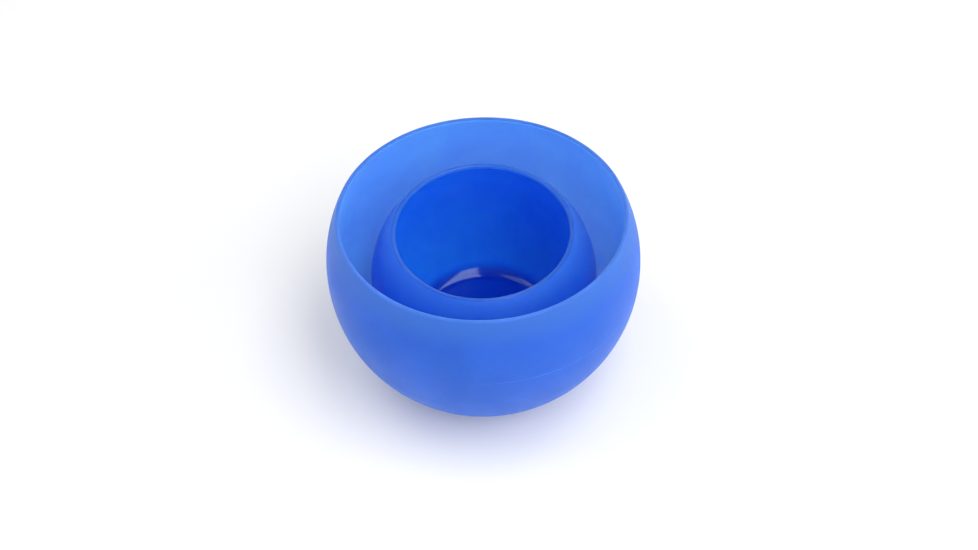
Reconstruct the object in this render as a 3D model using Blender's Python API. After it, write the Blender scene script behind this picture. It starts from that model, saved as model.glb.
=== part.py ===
"""Two loose, flexible silicone mixing bowls, the smaller one standing inside the larger one.

Both bowls are truncated hollow balls with a flat foot, a thin wall and a round lip. The small
bowl has been slid towards the back of the large one: the front of its foot stands on the large
bowl's floor and the back of its foot has climbed the curved wall, so it leans forward by TILT.

Metres, +Z up. The origin is the middle of the large bowl's foot, and -Y is the front.
"""

import math

import bpy
from mathutils import Matrix, Vector

# Large bowl
LARGE_RADIUS = 0.0680  # of the outer ball
LARGE_WALL = 0.0020
LARGE_FLOOR = 0.0020  # thickness
LARGE_LIP_HEIGHT = 0.0266  # middle of the lip above the middle of the ball
LARGE_FOOT_RADIUS = 0.0339  # of the flat under the bowl
LARGE_FOOT_FILLET = 0.0030
LARGE_FLOOR_FILLET = 0.0080

# Small bowl
SMALL_RADIUS = 0.0497
SMALL_WALL = 0.0022
SMALL_FLOOR = 0.0014  # thickness
SMALL_LIP_HEIGHT = 0.0295
SMALL_FOOT_RADIUS = 0.0315
SMALL_FOOT_FILLET = 0.0020
SMALL_FLOOR_FILLET = 0.0090

# How the small bowl stands in the large one
TILT = math.radians(4.0)
REST_GAP = 0.0004  # between the faceted solids, where the real bowls touch

# Facets
STEPS_AROUND = 60
WALL_STEP = math.radians(7.5)
FILLET_STEPS = 3
LIP_STEPS = 4

SILICONE_BLUE = (0.030, 0.150, 0.70, 1.0)
SILICONE_DEEP_BLUE = (0.015, 0.140, 0.70, 1.0)
OUTSIDE_ROUGHNESS = 0.48
INSIDE_ROUGHNESS = 0.30


class Bowl:
    """The sizes of one bowl, in a frame whose origin is the middle of its foot."""

    def __init__(self, radius, wall, floor, lip_height, foot_radius, foot_fillet, floor_fillet):
        self.radius = radius
        self.wall = wall
        self.floor = floor
        self.foot_radius = foot_radius
        self.foot_fillet = foot_fillet
        self.floor_fillet = floor_fillet
        self.inner_radius = radius - wall
        # The foot's fillet touches the flat and the ball, which sets the height of the ball's middle.
        self.middle = foot_fillet + leg(radius - foot_fillet, foot_radius)
        self.floor_flat = leg(self.inner_radius - floor_fillet, self.middle - floor - floor_fillet)
        self.lip_angle = math.asin(lip_height / (radius - wall / 2))

    def profile(self):
        """Half section as (r, z): floor, inner wall, lip, outer wall and foot, ending on the axis."""
        lip_middle = on_circle((0.0, self.middle), self.radius - self.wall / 2, self.lip_angle)
        floor_fillet_middle = (self.floor_flat, self.floor + self.floor_fillet)
        foot_fillet_middle = (self.foot_radius, self.foot_fillet)
        floor_turn = angle_from((0.0, self.middle), floor_fillet_middle)
        foot_turn = angle_from((0.0, self.middle), foot_fillet_middle)
        down = -math.pi / 2

        points = [(0.0, self.floor)]
        points += arc(floor_fillet_middle, self.floor_fillet, down, floor_turn, FILLET_STEPS)
        points += wall_arc(self.middle, self.inner_radius, floor_turn, self.lip_angle)[1:]
        lip_start = self.lip_angle + math.pi
        points += arc(lip_middle, self.wall / 2, lip_start, self.lip_angle, LIP_STEPS)[1:]
        points += wall_arc(self.middle, self.radius, self.lip_angle, foot_turn)[1:]
        points += arc(foot_fillet_middle, self.foot_fillet, foot_turn, down, FILLET_STEPS)[1:]
        points.append((0.0, 0.0))
        return points


def leg(hypotenuse, other_leg):
    return math.sqrt(hypotenuse**2 - other_leg**2)


def on_circle(middle, radius, angle):
    return (middle[0] + radius * math.cos(angle), middle[1] + radius * math.sin(angle))


def angle_from(middle, point):
    return math.atan2(point[1] - middle[1], point[0] - middle[0])


def arc(middle, radius, start, end, steps):
    return [on_circle(middle, radius, start + (end - start) * i / steps) for i in range(steps + 1)]


def wall_arc(middle_height, radius, start, end):
    steps = math.ceil(abs(end - start) / WALL_STEP)
    return arc((0.0, middle_height), radius, start, end, steps)


def resting_place(inner, outer):
    """The matrix that stands the inner bowl on the outer bowl's floor and back wall, leaning by TILT."""
    sin, cos = math.sin(TILT), math.cos(TILT)
    # Both contacts are on the round edge of the foot, whose fillet middle is a ring of foot_radius.
    ring_depth = inner.middle - inner.foot_fillet
    lowest = outer.floor + REST_GAP + inner.foot_fillet
    middle_height = lowest + ring_depth * cos + inner.foot_radius * sin
    back_height = middle_height - ring_depth * cos + inner.foot_radius * sin
    reach = leg(outer.inner_radius - inner.foot_fillet - REST_GAP, back_height - outer.middle)
    middle_y = reach - ring_depth * sin - inner.foot_radius * cos
    lean = Matrix.Rotation(TILT, 4, "X")
    to_ball = Matrix.Translation(Vector((0.0, 0.0, -inner.middle)))
    return Matrix.Translation(Vector((0.0, middle_y, middle_height))) @ lean @ to_ball


def silicone(name, colour, roughness):
    material = bpy.data.materials.new(name)
    material.use_nodes = True
    shader = material.node_tree.nodes["Principled BSDF"]
    shader.inputs["Base Color"].default_value = colour
    shader.inputs["Roughness"].default_value = roughness
    shader.inputs["Metallic"].default_value = 0.0
    return material


def turned_bowl(name, bowl, material):
    """A bowl's half section turned round its axis by a Screw modifier."""
    points = [(r, 0.0, z) for r, z in bowl.profile()]
    edges = [(i, i + 1) for i in range(len(points) - 1)]
    mesh = bpy.data.meshes.new(name)
    mesh.from_pydata(points, edges, [])
    mesh.materials.append(material)
    obj = bpy.data.objects.new(name, mesh)
    bpy.context.scene.collection.objects.link(obj)
    screw = obj.modifiers.new("turn", "SCREW")
    screw.axis = "Z"
    screw.angle = 2 * math.pi
    screw.steps = STEPS_AROUND
    screw.render_steps = STEPS_AROUND
    screw.use_merge_vertices = True
    screw.merge_threshold = 0.00001
    screw.use_smooth_shade = True
    return obj


def main():
    for obj in list(bpy.data.objects):
        bpy.data.objects.remove(obj)

    large = Bowl(
        LARGE_RADIUS,
        LARGE_WALL,
        LARGE_FLOOR,
        LARGE_LIP_HEIGHT,
        LARGE_FOOT_RADIUS,
        LARGE_FOOT_FILLET,
        LARGE_FLOOR_FILLET,
    )
    small = Bowl(
        SMALL_RADIUS,
        SMALL_WALL,
        SMALL_FLOOR,
        SMALL_LIP_HEIGHT,
        SMALL_FOOT_RADIUS,
        SMALL_FOOT_FILLET,
        SMALL_FLOOR_FILLET,
    )
    satin = silicone("satin_silicone", SILICONE_BLUE, OUTSIDE_ROUGHNESS)
    glossy = silicone("glossy_silicone", SILICONE_DEEP_BLUE, INSIDE_ROUGHNESS)
    turned_bowl("large_bowl", large, satin)
    small_bowl = turned_bowl("small_bowl", small, glossy)
    small_bowl.matrix_world = resting_place(small, large)


main()
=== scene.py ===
"""The looks of two nested silicone mixing bowls: fine meshes, silicone materials and a light tent.

Metres, +Z up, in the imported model's frame: the origin is the middle of the large bowl's foot, and
the camera looks from -Y. Each bowl is one moulding, turned from a half section. Its own frame has
the origin in the middle of its ball.
"""

import math

import bpy
from mathutils import Matrix, Vector, noise


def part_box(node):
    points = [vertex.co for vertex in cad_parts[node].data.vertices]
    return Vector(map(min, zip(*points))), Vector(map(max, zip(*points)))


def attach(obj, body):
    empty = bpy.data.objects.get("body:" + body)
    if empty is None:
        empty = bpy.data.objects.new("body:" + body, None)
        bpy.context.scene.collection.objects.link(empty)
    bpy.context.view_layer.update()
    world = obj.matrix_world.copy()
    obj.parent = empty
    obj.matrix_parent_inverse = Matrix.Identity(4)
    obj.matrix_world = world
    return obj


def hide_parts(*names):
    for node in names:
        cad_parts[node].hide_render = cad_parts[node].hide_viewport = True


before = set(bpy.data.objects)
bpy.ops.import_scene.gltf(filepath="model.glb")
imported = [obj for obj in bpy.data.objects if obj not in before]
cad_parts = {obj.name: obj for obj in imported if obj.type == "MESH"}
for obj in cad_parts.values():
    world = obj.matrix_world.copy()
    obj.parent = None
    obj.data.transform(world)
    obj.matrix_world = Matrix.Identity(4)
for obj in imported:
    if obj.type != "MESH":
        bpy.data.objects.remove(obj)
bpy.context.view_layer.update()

# Sizes that the outer boxes don't show
LARGE_WALL = 0.0020
LARGE_FLOOR = 0.0020  # thickness
LARGE_LIP_HEIGHT = 0.0266  # middle of the lip above the middle of the ball
LARGE_FOOT_RADIUS = 0.0339
LARGE_FOOT_FILLET = 0.0030
LARGE_FLOOR_FILLET = 0.0080
SMALL_WALL = 0.0022
SMALL_FLOOR = 0.0014  # thickness
SMALL_LIP_HEIGHT = 0.0295
SMALL_FOOT_RADIUS = 0.0315
SMALL_FOOT_FILLET = 0.0020
SMALL_FLOOR_FILLET = 0.0090
TILT = math.radians(4.0)  # the small bowl leans towards the front

# The parting seam round the large bowl
SEAM_DEPTH = 0.00006
SEAM_WIDTH = 0.00075
SEAM_OFFSET = 0.9  # of the ridge and the groove from the seam's middle, in half widths
SEAM_REACH = 3.5  # half widths
SEAM_BAND = math.radians(1.15)  # on each side of the seam, where the mesh is finest
SEAM_LATITUDE = math.radians(-2.7)
SEAM_CLEAREST = math.radians(38)  # from the front towards the right
# A pale line painted just below the seam: a painted highlight where the seam's ridge faces up to the light
SEAM_HIGHLIGHT_WIDTH = 0.0010
SEAM_HIGHLIGHT_DROP = 0.0005  # from the seam to the middle of its painted highlight
SEAM_HIGHLIGHT_SHARE = 0.45  # how far the line takes on the painted highlight's colour

# Under the feet
RECESS_DEPTH = 0.0005
RECESS_SHARE = 0.72  # of the foot's radius
RECESS_EDGE = 1.2 * RECESS_DEPTH  # half the width of its sloping edge
GATE_RADIUS = 0.0030
GATE_HEIGHT = 0.00035
GATE_TAPER = 0.25  # of its radius

# Unevenness of the flexible walls
WOBBLE = 0.00022  # how far the wall strays from round
WOBBLE_LENGTH = 0.055
WOBBLE_FROM = 0.15  # the height above the foot where it starts, as a share of the ball's radius
WOBBLE_RISE = 0.5  # the height over which it grows, likewise
LARGE_SEED = 3.0
SMALL_SEED = 11.0
DIMPLE_DEPTH = 0.00018
DIMPLE_REACH = 3.0  # times a dimple's size
FRONT_LEFT_DIMPLE = (Vector((-0.26, -0.89, 0.38)).normalized(), 0.0014)  # direction and size
BACK_RIM_DIMPLE = (Vector((-0.15, 0.91, 0.37)).normalized(), 0.0018)

# Fineness of the meshes
SEGMENTS = 256
WALL_STEP = math.radians(1.5)
FLOOR_STEPS = 12
FLOOR_FILLET_STEPS = 24
LIP_STEPS = 8  # in each half of the lip
SEAM_STEPS = 24
FOOT_FILLET_STEPS = 8
RECESS_EDGE_STEPS = 6
RECESS_STEPS = 8
GATE_STEPS = 5

# Camera
CAMERA_ELEVATION = math.radians(45.66)
CAMERA_DISTANCE = 0.8174
CAMERA_ROLL = math.radians(1.94)
CAMERA_LENS = 69.35
CAMERA_SHIFT = (0.0058, -0.0159)

# Surroundings
FLOOR_HALF_SIZE = 4.0
FLOOR_DROP = 0.0001  # below the large bowl's foot
WALLS_RADIANCE = 1.08
CEILING_RADIANCE = 0.15
CEILING_HEIGHT = 1.0
SOFTBOX_DISTANCE = 1.2

# Level panels overhead: name, x, y, turn in degrees, width, length and radiance
OVERHEAD_PANELS = [
    ("key", 0.33, -0.52, 8.0, 0.46, 1.3, 4.35),
    ("fill", -0.42, 0.12, 0.0, 0.45, 0.75, 1.35),
]

# Panels that face the bowls: name, azimuth and elevation in degrees, width, height and radiance.
# Azimuth 0 is the front and 90 the right.
SOFTBOXES = [
    ("front", 0.0, 27.0, 1.5, 0.45, 0.7),
    ("front_right", 42.0, 25.0, 0.6, 0.6, 1.25),
    ("front_left", -42.0, 25.0, 0.6, 0.6, 0.25),
    ("right", 75.0, 32.0, 0.8, 0.6, 1.65),
    ("right_low", 100.0, 10.0, 1.2, 0.35, 1.3),
    ("back_right", 140.0, 35.0, 0.9, 0.6, 0.5),
    ("back_low", 170.0, 10.0, 1.2, 0.35, 0.85),
    ("left", -75.0, 32.0, 0.8, 0.6, 0.45),
    ("left_high", -105.0, 50.0, 0.8, 0.5, 1.5),
]

# Colours, linear
OUTSIDE_BLUE = (0.0048, 0.095, 0.525, 1.0)
PAINTED_LIGHT_BLUE = (0.060, 0.282, 1.0, 1.0)  # paler than the outside: painted light, as the large bowl's inside is lit brighter; also the colour of the seam's painted highlight
LIP_BLUE = (0.025, 0.128, 0.50, 1.0)
# Brighter than the large bowl's outside: painted light that makes up for the shade in the gap between the
# bowls
SMALL_OUTSIDE_BLUE = (0.011, 0.155, 0.67, 1.0)
SMALL_LIP_BLUE = (0.009, 0.098, 0.47, 1.0)
# Painted sheen: paler towards the rim, where the small bowl's outside turns up to the light
SMALL_RIM_SHEEN_BLUE = (0.040, 0.190, 0.67, 1.0)
GLOSSY_BLUE = (0.018, 0.245, 0.98, 1.0)
FLOOR_SHADE_BLUE = (0.002, 0.048, 0.49, 1.0)  # painted shade: the small bowl's floor is painted darker, as little light reaches it or comes through
DUST_BLUE = (0.45, 0.55, 0.85, 1.0)
GLOSS_TINT = (0.80, 1.0, 0.96, 1.0)
SHEEN_TINT = (0.80, 0.86, 1.0, 1.0)
FLOOR_WHITE = (0.88, 0.88, 0.88, 1.0)

# Heights over which a colour changes, and how far light gets under a surface
LARGE_RIM_HEIGHT = 0.014  # below the lip's middle, over which the outside is painted paler as a painted sheen
SMALL_RIM_HEIGHT = 0.012  # likewise
FLOOR_SHADE_FROM, FLOOR_SHADE_TO = 0.0055, 0.0003  # above the small bowl's floor; the painted shade deepens from the first height to the second
SHALLOW = 0.005
DEEP = 0.009


def leg(hypotenuse, other_leg):
    return math.sqrt(hypotenuse**2 - other_leg**2)


def polar(middle, radius, angle):
    return (middle[0] + radius * math.cos(angle), middle[1] + radius * math.sin(angle))


def arc(middle, radius, start, end, steps):
    return [polar(middle, radius, start + (end - start) * i / steps) for i in range(steps + 1)]


def eased(step, steps):
    """A share from 0 to 1 that starts and ends slowly."""
    return 0.5 - 0.5 * math.cos(math.pi * step / steps)


class Bowl:
    """One bowl's sizes and its half section, in a frame at the middle of its ball."""

    def __init__(self, name, wall, floor, lip_height, foot_radius, foot_fillet, floor_fillet):
        low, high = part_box(name)
        self.radius = (high.x - low.x) / 2
        self.wall = wall
        self.inner = self.radius - wall
        self.foot_radius = foot_radius
        self.foot_fillet = foot_fillet
        self.floor_fillet = floor_fillet
        self.ring_depth = leg(self.radius - foot_fillet, foot_radius)
        self.depth = self.ring_depth + foot_fillet
        self.floor = floor - self.depth
        fillet_height = self.floor + floor_fillet
        self.floor_flat = leg(self.inner - floor_fillet, fillet_height)
        self.floor_turn = math.atan2(fillet_height, self.floor_flat)
        self.foot_turn = math.atan2(-self.ring_depth, foot_radius)
        self.lip = math.asin(lip_height / (self.radius - wall / 2))
        self.lip_middle = polar((0.0, 0.0), self.radius - wall / 2, self.lip)

    def ball_arc(self, radius, start, end):
        steps = math.ceil(abs(end - start) / WALL_STEP)
        return arc((0.0, 0.0), radius, start, end, steps)

    def inside(self):
        """From the middle of the floor to the crest of the lip."""
        down = -math.pi / 2
        crest = self.lip + math.pi / 2
        fillet_middle = (self.floor_flat, self.floor + self.floor_fillet)
        points = [(self.floor_flat * i / FLOOR_STEPS, self.floor) for i in range(FLOOR_STEPS)]
        points += arc(fillet_middle, self.floor_fillet, down, self.floor_turn, FLOOR_FILLET_STEPS)
        points += self.ball_arc(self.inner, self.floor_turn, self.lip)[1:]
        points += arc(self.lip_middle, self.wall / 2, crest + math.pi / 2, crest, LIP_STEPS)[1:]
        return points

    def outside(self):
        """From the crest of the lip to the middle of the foot."""
        down = -math.pi / 2
        crest = self.lip + math.pi / 2
        above, below = SEAM_LATITUDE + SEAM_BAND, SEAM_LATITUDE - SEAM_BAND
        foot_middle = (self.foot_radius, -self.ring_depth)
        points = arc(self.lip_middle, self.wall / 2, crest, self.lip, LIP_STEPS)
        points += self.ball_arc(self.radius, self.lip, above)[1:]
        points += arc((0.0, 0.0), self.radius, above, below, SEAM_STEPS)[1:]
        points += self.ball_arc(self.radius, below, self.foot_turn)[1:]
        points += arc(foot_middle, self.foot_fillet, self.foot_turn, down, FOOT_FILLET_STEPS)[1:]
        return points + self.underneath()

    def underneath(self):
        """From the edge of the foot's recess to the middle of the gate mark."""
        recess = RECESS_SHARE * self.foot_radius
        recess_inner = recess - RECESS_EDGE
        recessed = RECESS_DEPTH - self.depth
        points = []
        for i in range(1, RECESS_EDGE_STEPS + 1):
            share = eased(i, RECESS_EDGE_STEPS)
            points.append((recess + RECESS_EDGE * (1 - 2 * share), -self.depth + RECESS_DEPTH * share))
        for i in range(1, RECESS_STEPS + 1):
            points.append((recess_inner - (recess_inner - GATE_RADIUS) * i / RECESS_STEPS, recessed))
        for i in range(1, GATE_STEPS + 1):
            height = recessed - GATE_HEIGHT * eased(i, GATE_STEPS)
            points.append((GATE_RADIUS * (1 - GATE_TAPER * i / GATE_STEPS), height))
        points.append((0.0, recessed - GATE_HEIGHT))
        return points


def seam_lift(outward, radius):
    """The parting seam: a ridge with a groove above it, uneven and clearest on one side."""
    across = (math.asin(outward.z) - SEAM_LATITUDE) * radius / (SEAM_WIDTH / 2)
    if abs(across) > SEAM_REACH:
        return 0.0
    turned_away = math.atan2(outward.x, -outward.y) - SEAM_CLEAREST
    clear = 0.2 + 0.8 * max(math.cos(turned_away), 0.0) ** 3
    uneven = 0.9 + 0.5 * noise.noise(outward * 9.0) + 0.3 * noise.noise(outward * 31.0)
    ridge = math.exp(-((across + SEAM_OFFSET) ** 2))
    groove = math.exp(-((across - SEAM_OFFSET) ** 2))
    return SEAM_DEPTH * clear * uneven * (ridge - groove)


def wobble(point, bowl, seed):
    """Slow waves in a soft wall, which die out towards the foot, so that it lies flat."""
    height = (point.z + bowl.depth) / bowl.radius
    ease = min(max((height - WOBBLE_FROM) / WOBBLE_RISE, 0.0), 1.0)
    on_ball = point.normalized() * bowl.radius
    return ease * WOBBLE * noise.noise(on_ball / WOBBLE_LENGTH + Vector((seed, 0.0, 0.0)))


def dimple_lift(outward, radius, dimple):
    """A small round dent, as a lift below zero."""
    middle, size = dimple
    gap = (outward - middle).length * radius / size
    if gap >= DIMPLE_REACH:
        return 0.0
    return -DIMPLE_DEPTH * math.exp(-gap * gap)


def turned(name, bowl, seed, has_seam, dimples, finishes):
    """A closed mesh turned from the half section, with the moulding's fine detail in its points.

    The seam and the dimples are on the outside only. finishes are those of the inside, the lip
    and the outside.
    """
    inside, outside = bowl.inside(), bowl.outside()
    section = inside + outside[1:]
    rings = section[1:-1]
    crest = len(inside) - 1
    turns = [2 * math.pi * i / SEGMENTS for i in range(SEGMENTS)]
    points = [Vector((0.0, 0.0, section[0][1]))]
    for index, (r, z) in enumerate(rings, start=1):
        for turn in turns:
            point = Vector((r * math.cos(turn), r * math.sin(turn), z))
            outward = point.normalized()
            lift = wobble(point, bowl, seed)
            if index > crest:
                lift += seam_lift(outward, bowl.radius) if has_seam else 0.0
                lift += sum(dimple_lift(outward, bowl.radius, dimple) for dimple in dimples)
            points.append(point + outward * lift)
    points.append(Vector((0.0, 0.0, section[-1][1])))

    last = len(points) - 1
    faces = [(0, 1 + i, 1 + (i + 1) % SEGMENTS) for i in range(SEGMENTS)]
    for ring in range(len(rings) - 1):
        base = 1 + ring * SEGMENTS
        for i in range(SEGMENTS):
            j = (i + 1) % SEGMENTS
            faces.append((base + i, base + SEGMENTS + i, base + SEGMENTS + j, base + j))
    base = 1 + (len(rings) - 1) * SEGMENTS
    faces += [(base + i, last, base + (i + 1) % SEGMENTS) for i in range(SEGMENTS)]

    mesh = bpy.data.meshes.new(name)
    mesh.from_pydata(points, [], faces)
    for finish in finishes:
        mesh.materials.append(finish)
    lip_from = SEGMENTS * (crest - LIP_STEPS // 2)
    outside_from = SEGMENTS * (crest + LIP_STEPS)
    for number, polygon in enumerate(mesh.polygons):
        polygon.material_index = int(number >= lip_from) + int(number >= outside_from)
    mesh.shade_smooth()
    mesh.validate()
    piece = bpy.data.objects.new(name, mesh)
    bpy.context.scene.collection.objects.link(piece)
    return piece


def feed(tree, socket, value):
    """Links value to the socket if it is another node's socket, and else sets it."""
    if isinstance(value, bpy.types.NodeSocket):
        tree.links.new(value, socket)
    else:
        socket.default_value = value


def node(tree, kind, **inputs):
    made = tree.nodes.new("ShaderNode" + kind)
    for name, value in inputs.items():
        feed(tree, made.inputs[name.replace("_", " ")], value)
    return made


def calculated(tree, operation, *values):
    made = tree.nodes.new("ShaderNodeMath")
    made.operation = operation
    for socket, value in zip(made.inputs, values):
        feed(tree, socket, value)
    return made.outputs["Value"]


def remapped(tree, value, low, high, to_low, to_high, smooth=False):
    made = node(tree, "MapRange", From_Min=low, From_Max=high, To_Min=to_low, To_Max=to_high)
    if smooth:
        made.interpolation_type = "SMOOTHSTEP"
    feed(tree, made.inputs["Value"], value)
    return made.outputs["Result"]


def mixed(tree, share, first, second):
    made = tree.nodes.new("ShaderNodeMix")
    made.data_type = "RGBA"
    feed(tree, made.inputs["Factor"], share)
    feed(tree, made.inputs["A"], first)
    feed(tree, made.inputs["B"], second)
    return made.outputs["Result"]


def noisy(tree, where, scale, detail, roughness, distortion=0.0):
    made = node(tree, "TexNoise", Vector=where, Scale=scale, Detail=detail, Roughness=roughness)
    made.inputs["Distortion"].default_value = distortion
    return made.outputs["Fac"]


def cloudy(tree, where, colour):
    """Pigment that is a little uneven, in clouds of a few centimetres and in fine mottle."""
    clouds = noisy(tree, where, 38.0, 4.0, 0.55, distortion=0.6)
    mottle = noisy(tree, where, 420.0, 3.0, 0.6)
    both = calculated(tree, "MULTIPLY_ADD", mottle, 0.25, clouds)
    tint = node(tree, "ValToRGB", Fac=both)
    darker, lighter = tint.color_ramp.elements
    darker.position = 0.45
    darker.color = [c * 0.93 for c in colour[:3]] + [1.0]
    lighter.position = 0.80
    lighter.color = [min(c * 1.05 + 0.004, 1.0) for c in colour[:3]] + [1.0]
    return tint.outputs["Color"]


def faded(tree, where, colour, fade):
    """The colour, turning into another one between two heights."""
    start, end, second_colour = fade
    height = node(tree, "SeparateXYZ", Vector=where).outputs["Z"]
    share = remapped(tree, height, start, end, 0.0, 1.0, smooth=True)
    return mixed(tree, share, colour, second_colour)


def seam_highlight(tree, where, colour, radius):
    """A thin pale painted highlight along the parting seam of a ball of this radius, where its ridge faces
    up to the light.
    """
    height = node(tree, "SeparateXYZ", Vector=where).outputs["Z"]
    off = calculated(tree, "SUBTRACT", height, radius * math.sin(SEAM_LATITUDE) - SEAM_HIGHLIGHT_DROP)
    apart = calculated(tree, "ABSOLUTE", off)
    line = remapped(tree, apart, 0.0, SEAM_HIGHLIGHT_WIDTH / 2, SEAM_HIGHLIGHT_SHARE, 0.0, smooth=True)

    facing = tree.nodes.new("ShaderNodeVectorMath")
    facing.operation = "DOT_PRODUCT"
    feed(tree, facing.inputs[0], where)
    feed(tree, facing.inputs[1], (math.sin(SEAM_CLEAREST), -math.cos(SEAM_CLEAREST), 0.0))
    clear = remapped(tree, facing.outputs["Value"], 0.70 * radius, radius, 0.08, 1.0, smooth=True)
    patchy = remapped(tree, noisy(tree, where, 90.0, 2.0, 0.5), 0.30, 0.60, 0.35, 1.0)
    share = calculated(tree, "MULTIPLY", calculated(tree, "MULTIPLY", line, clear), patchy)
    return mixed(tree, share, colour, PAINTED_LIGHT_BLUE)


def speckled(tree, where, colour):
    """The colour with pale specks of dust, sparse and about half a millimetre across at most."""
    cells = node(tree, "TexVoronoi", Vector=where, Scale=190.0, Randomness=1.0)
    near = remapped(tree, cells.outputs["Distance"], 0.020, 0.050, 1.0, 0.0)
    chance = node(tree, "SeparateColor", Color=cells.outputs["Color"]).outputs["Red"]
    rare = calculated(tree, "GREATER_THAN", chance, 0.93)
    share = calculated(tree, "MULTIPLY", calculated(tree, "MULTIPLY", near, rare), 0.16)
    return mixed(tree, share, colour, DUST_BLUE)


def smeared(tree, where, roughness, swing):
    """Roughness with smears, where hands and cloths have polished the bloom."""
    smears = noisy(tree, where, 22.0, 5.0, 0.6, distortion=1.4)
    return remapped(tree, smears, 0.35, 0.68, roughness - swing, roughness + swing)


def grained(tree, where, grain):
    """The normal of a skin with the grain that the mould left, and slow ripples."""
    fine = noisy(tree, where, 2600.0, 2.0, 0.5)
    ripple = noisy(tree, where, 70.0, 2.0, 0.4)
    grainy = node(tree, "Bump", Strength=grain, Distance=0.00006, Height=fine).outputs["Normal"]
    rippled = node(tree, "Bump", Strength=0.10, Distance=0.0006, Height=ripple, Normal=grainy)
    return rippled.outputs["Normal"]


def silicone(name, colour, roughness, swing, grain, sheen, depth=SHALLOW, fade=None, seam_radius=None):
    """Moulded silicone: cloudy pigment, a bloom of dust that dulls it, fine grain and a few specks.

    swing is how far the roughness strays either way, and grain the strength of the fine bumps.
    depth is how far light gets under the surface.
    fade is (start, end, colour): the pigment turns to colour from one height to the other.
    seam_radius is the radius of a ball that has a parting seam, with a highlight painted along it.
    """
    material = bpy.data.materials.new(name)
    material.use_nodes = True
    tree = material.node_tree
    where = tree.nodes.new("ShaderNodeTexCoord").outputs["Object"]
    pigment = cloudy(tree, where, colour)
    if fade is not None:
        pigment = faded(tree, where, pigment, fade)
    if seam_radius is not None:
        # Paints a pale highlight along the seam.
        pigment = seam_highlight(tree, where, pigment, seam_radius)

    shader = tree.nodes["Principled BSDF"]
    feed(tree, shader.inputs["Base Color"], speckled(tree, where, pigment))
    feed(tree, shader.inputs["Roughness"], smeared(tree, where, roughness, swing))
    feed(tree, shader.inputs["Normal"], grained(tree, where, grain))
    shader.inputs["IOR"].default_value = 1.42
    shader.inputs["Specular Tint"].default_value = GLOSS_TINT
    shader.inputs["Subsurface Weight"].default_value = 1.0
    shader.inputs["Subsurface Radius"].default_value = (1.0, 1.0, 1.0)
    shader.inputs["Subsurface Scale"].default_value = depth
    shader.inputs["Sheen Weight"].default_value = sheen
    shader.inputs["Sheen Roughness"].default_value = 0.55
    shader.inputs["Sheen Tint"].default_value = SHEEN_TINT
    return material


def large_finishes(bowl):
    """The large bowl's inside, lip and outside."""
    # The outside turns paler towards the lip: painted sheen where the wall turns up to the light.
    rim_sheen = (LARGE_LIP_HEIGHT - LARGE_RIM_HEIGHT, LARGE_LIP_HEIGHT, LIP_BLUE)
    return [
        # The large bowl's inside has its pigment painted paler than the outside's: painted light.
        silicone("large_inside", PAINTED_LIGHT_BLUE, 0.55, 0.06, 0.45, 0.12, depth=DEEP),
        silicone("large_lip", LIP_BLUE, 0.50, 0.05, 0.30, 0.15),
        silicone("large_outside", OUTSIDE_BLUE, 0.54, 0.06, 0.45, 0.04, fade=rim_sheen, seam_radius=bowl.radius),
    ]


def small_finishes(bowl):
    """The small bowl's inside, lip and outside."""
    # The outside turns paler towards the lip: painted sheen where the wall turns up to the light.
    rim_sheen = (SMALL_LIP_HEIGHT - SMALL_RIM_HEIGHT, SMALL_LIP_HEIGHT, SMALL_RIM_SHEEN_BLUE)
    # Painted shade: the small bowl's floor and the foot of its wall are painted darker.
    floor_shade = (bowl.floor + FLOOR_SHADE_FROM, bowl.floor + FLOOR_SHADE_TO, FLOOR_SHADE_BLUE)
    return [
        silicone("small_inside", GLOSSY_BLUE, 0.08, 0.02, 0.05, 0.0, fade=floor_shade),
        silicone("small_lip", SMALL_LIP_BLUE, 0.36, 0.05, 0.25, 0.10),
        silicone("small_outside", SMALL_OUTSIDE_BLUE, 0.40, 0.05, 0.30, 0.04, fade=rim_sheen),
    ]


def floor_material():
    material = bpy.data.materials.new("pale_floor")
    material.use_nodes = True
    shader = material.node_tree.nodes["Principled BSDF"]
    shader.inputs["Base Color"].default_value = FLOOR_WHITE
    shader.inputs["Roughness"].default_value = 0.6
    shader.inputs["Specular IOR Level"].default_value = 0.2
    return material


def add_floor():
    size, height = FLOOR_HALF_SIZE, -FLOOR_DROP
    corners = [(-size, -size, height), (size, -size, height), (size, size, height), (-size, size, height)]
    mesh = bpy.data.meshes.new("floor")
    mesh.from_pydata(corners, [], [(0, 1, 2, 3)])
    mesh.materials.append(floor_material())
    floor = bpy.data.objects.new("floor", mesh)
    bpy.context.scene.collection.objects.link(floor)


def panel(name, place, width, length, radiance):
    """A rectangular soft light at place, a matrix whose -Z axis is the way it shines."""
    light = bpy.data.lights.new(name, "AREA")
    light.shape = "RECTANGLE"
    light.size = width
    light.size_y = length
    # An area light of one square metre and one watt has a radiance of 1 / pi on one side.
    light.energy = radiance * math.pi * width * length
    lamp = bpy.data.objects.new(name, light)
    lamp.matrix_world = place
    bpy.context.scene.collection.objects.link(lamp)


def overhead(name, x, y, turn, width, length, radiance):
    """A level panel above the bowls."""
    turned_round = Matrix.Rotation(math.radians(turn), 4, "Z")
    place = Matrix.Translation(Vector((x, y, CEILING_HEIGHT))) @ turned_round
    panel(name, place, width, length, radiance)


def softbox(name, azimuth, elevation, width, height, radiance, target):
    """A panel that faces target."""
    around, up = math.radians(azimuth), math.radians(elevation)
    away = Vector((math.cos(up) * math.sin(around), -math.cos(up) * math.cos(around), math.sin(up)))
    sideways = Vector((math.cos(around), math.sin(around), 0.0))
    turn = Matrix((sideways, away.cross(sideways), away)).transposed()
    place = Matrix.Translation(target + away * SOFTBOX_DISTANCE) @ turn.to_4x4()
    panel(name, place, width, height, radiance)


def add_lights(target):
    for row in OVERHEAD_PANELS:
        overhead(*row)
    for row in SOFTBOXES:
        softbox(*row, target)


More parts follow.
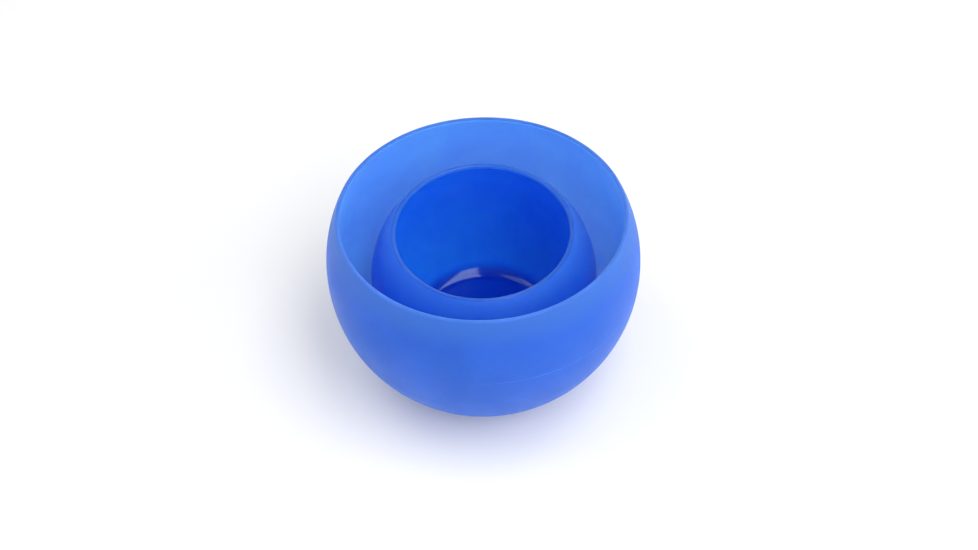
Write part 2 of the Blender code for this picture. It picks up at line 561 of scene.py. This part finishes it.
def add_world():
    """Pale walls all round that fade into a dim ceiling."""
    world = bpy.data.worlds.new("tent")
    world.use_nodes = True
    tree = world.node_tree
    direction = tree.nodes.new("ShaderNodeTexCoord").outputs["Generated"]
    height = node(tree, "SeparateXYZ", Vector=direction).outputs["Z"]
    strength = remapped(tree, height, 0.40, 0.75, WALLS_RADIANCE, CEILING_RADIANCE, smooth=True)
    background = tree.nodes["Background"]
    background.inputs["Color"].default_value = (1.0, 1.0, 1.0, 1.0)
    feed(tree, background.inputs["Strength"], strength)
    bpy.context.scene.world = world


def add_camera(target):
    """Looks at target from the front, with the roll that the picture has."""
    data = bpy.data.cameras.new("camera")
    data.sensor_width = 36.0
    data.lens = CAMERA_LENS
    data.shift_x, data.shift_y = CAMERA_SHIFT
    data.clip_start = 0.01
    camera = bpy.data.objects.new("camera", data)
    sin, cos = math.sin(CAMERA_ELEVATION), math.cos(CAMERA_ELEVATION)
    level_right = Vector((1.0, 0.0, 0.0))
    level_up = Vector((0.0, sin, cos))
    back = Vector((0.0, -cos, sin))
    right = math.cos(CAMERA_ROLL) * level_right - math.sin(CAMERA_ROLL) * level_up
    up = back.cross(right)
    turn = Matrix((right, up, back)).transposed()
    camera.matrix_world = Matrix.Translation(target + back * CAMERA_DISTANCE) @ turn.to_4x4()
    bpy.context.scene.collection.objects.link(camera)
    bpy.context.scene.camera = camera


def main():
    large = Bowl(
        "large_bowl",
        LARGE_WALL,
        LARGE_FLOOR,
        LARGE_LIP_HEIGHT,
        LARGE_FOOT_RADIUS,
        LARGE_FOOT_FILLET,
        LARGE_FLOOR_FILLET,
    )
    small = Bowl(
        "small_bowl",
        SMALL_WALL,
        SMALL_FLOOR,
        SMALL_LIP_HEIGHT,
        SMALL_FOOT_RADIUS,
        SMALL_FOOT_FILLET,
        SMALL_FLOOR_FILLET,
    )

    low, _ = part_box("large_bowl")
    large_middle = Vector((0.0, 0.0, low.z + large.depth))
    dimples = [FRONT_LEFT_DIMPLE, BACK_RIM_DIMPLE]
    finishes = large_finishes(large)
    large_piece = turned("large_bowl_moulding", large, LARGE_SEED, True, dimples, finishes)
    large_piece.matrix_world = Matrix.Translation(large_middle)
    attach(large_piece, "large_bowl")
    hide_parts("large_bowl")

    # The small bowl leans, so its lowest point is on the fillet at the front of its foot.
    low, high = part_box("small_bowl")
    sin, cos = math.sin(TILT), math.cos(TILT)
    rise = small.foot_fillet + small.ring_depth * cos + small.foot_radius * sin
    small_middle = Vector(((low.x + high.x) / 2, (low.y + high.y) / 2, low.z + rise))
    finishes = small_finishes(small)
    small_piece = turned("small_bowl_moulding", small, SMALL_SEED, False, [], finishes)
    small_piece.matrix_world = Matrix.Translation(small_middle) @ Matrix.Rotation(TILT, 4, "X")
    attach(small_piece, "small_bowl")
    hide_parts("small_bowl")

    add_floor()
    add_world()
    add_lights(large_middle)
    add_camera(large_middle)
    bpy.context.scene.view_settings.view_transform = "Standard"


main()
